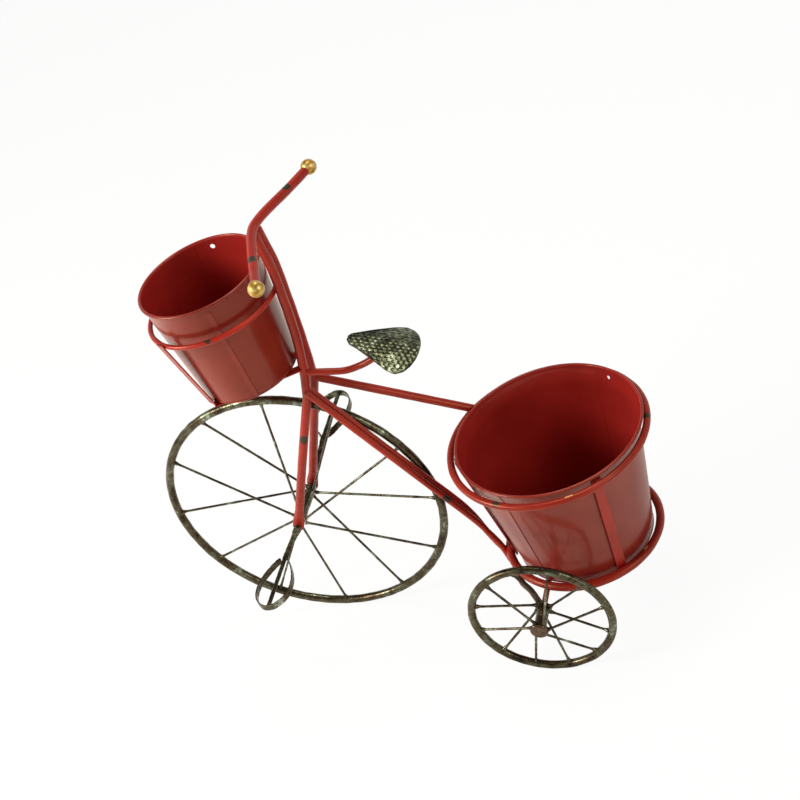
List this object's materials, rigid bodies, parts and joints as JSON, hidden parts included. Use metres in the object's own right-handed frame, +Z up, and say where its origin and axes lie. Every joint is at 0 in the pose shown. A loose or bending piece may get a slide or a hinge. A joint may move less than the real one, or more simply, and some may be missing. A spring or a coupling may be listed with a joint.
{
  "type": "tricycle planter",
  "caption": "Decorative tricycle plant stand of tube and rod with spoked wheels, cranks and pedals, saddle and handlebar, a small lift-out bucket in front and a large one behind.",
  "frame": {"origin": "on the ground, in the middle of the planter's length and width", "axes": "+Z up, +X from the front wheel to the rear bucket, +Y to the side of the top bar"},
  "size_m": [0.5284, 0.2506, 0.4982],
  "materials": {
    "frame_enamel": "deep red enamel, satin, chipped to black and bronze at edges",
    "bucket_enamel": "deep red enamel on sheet, satin, worn along rim and seams",
    "wheel_pewter": "antiqued pewter-bronze paint, satin",
    "saddle_pewter": "antiqued pewter-bronze paint over hammered sheet",
    "ball_brass": "hammered, satin"
  },
  "bodies": {
    "root": {"fork_tube_near": "frame_enamel", "fork_tube_far": "frame_enamel", "handlebar": "frame_enamel", "backbone_rod_near": "frame_enamel", "backbone_rod_far": "frame_enamel", "top_bar": "frame_enamel", "saddle_post": "frame_enamel", "rear_basket_upper_ring": "frame_enamel", "rear_basket_lower_ring": "frame_enamel", "rear_basket_strip_1": "frame_enamel", "rear_basket_strip_2": "frame_enamel", "rear_basket_strip_3": "frame_enamel", "rear_axle": "frame_enamel", "front_basket_ring": "frame_enamel", "front_basket_strap_near": "frame_enamel", "front_basket_strap_far": "frame_enamel", "handlebar_ball_near": "ball_brass", "handlebar_ball_far": "ball_brass", "saddle": "saddle_pewter", "axle_cap_near": "wheel_pewter", "axle_cap_far": "wheel_pewter"},
    "front_wheel": {"front_rim": "wheel_pewter", "front_hub": "wheel_pewter", "crank_near": "wheel_pewter", "crank_far": "wheel_pewter", "front_spoke_near_1": "wheel_pewter", "front_spoke_near_2": "wheel_pewter", "front_spoke_near_3": "wheel_pewter", "front_spoke_near_4": "wheel_pewter", "front_spoke_near_5": "wheel_pewter", "front_spoke_near_6": "wheel_pewter", "front_spoke_far_1": "wheel_pewter", "front_spoke_far_2": "wheel_pewter", "front_spoke_far_3": "wheel_pewter", "front_spoke_far_4": "wheel_pewter", "front_spoke_far_5": "wheel_pewter", "front_spoke_far_6": "wheel_pewter"},
    "pedal_near": {"pedal_near": "wheel_pewter"},
    "pedal_far": {"pedal_far": "wheel_pewter"},
    "rear_wheel_near": {"rear_rim_near": "wheel_pewter", "rear_hub_near": "wheel_pewter"},
    "rear_wheel_far": {"rear_rim_far": "wheel_pewter", "rear_hub_far": "wheel_pewter"},
    "front_bucket": {"front_pot": "bucket_enamel"},
    "rear_bucket": {"rear_pot": "bucket_enamel"}
  },
  "joints": [
    {"name": "front_wheel_spin", "type": "hinge", "parent": "root", "child": "front_wheel", "pos_m": [-0.1142, 0, 0.15], "axis": [0, 1, 0], "continuous": true},
    {"name": "pedal_near_spin", "type": "hinge", "parent": "front_wheel", "child": "pedal_near", "pos_m": [-0.14429, -0.07, 0.11007], "axis": [0, 1, 0], "continuous": true},
    {"name": "pedal_far_spin", "type": "hinge", "parent": "front_wheel", "child": "pedal_far", "pos_m": [-0.0802, 0.07, 0.20889], "axis": [0, 1, 0], "continuous": true},
    {"name": "rear_wheel_near_spin", "type": "hinge", "parent": "root", "child": "rear_wheel_near", "pos_m": [0.1351, -0.1077, 0.0725], "axis": [0, 1, 0], "continuous": true},
    {"name": "rear_wheel_far_spin", "type": "hinge", "parent": "root", "child": "rear_wheel_far", "pos_m": [0.1351, 0.1077, 0.0725], "axis": [0, 1, 0], "continuous": true},
    {"name": "front_bucket_lift", "type": "slide", "parent": "root", "child": "front_bucket", "axis": [-0.0436, 0, 0.999], "range_m": [0, 0.13]},
    {"name": "rear_bucket_lift", "type": "slide", "parent": "root", "child": "rear_bucket", "axis": [0, 0, 1], "range_m": [0, 0.1]}
  ]
}
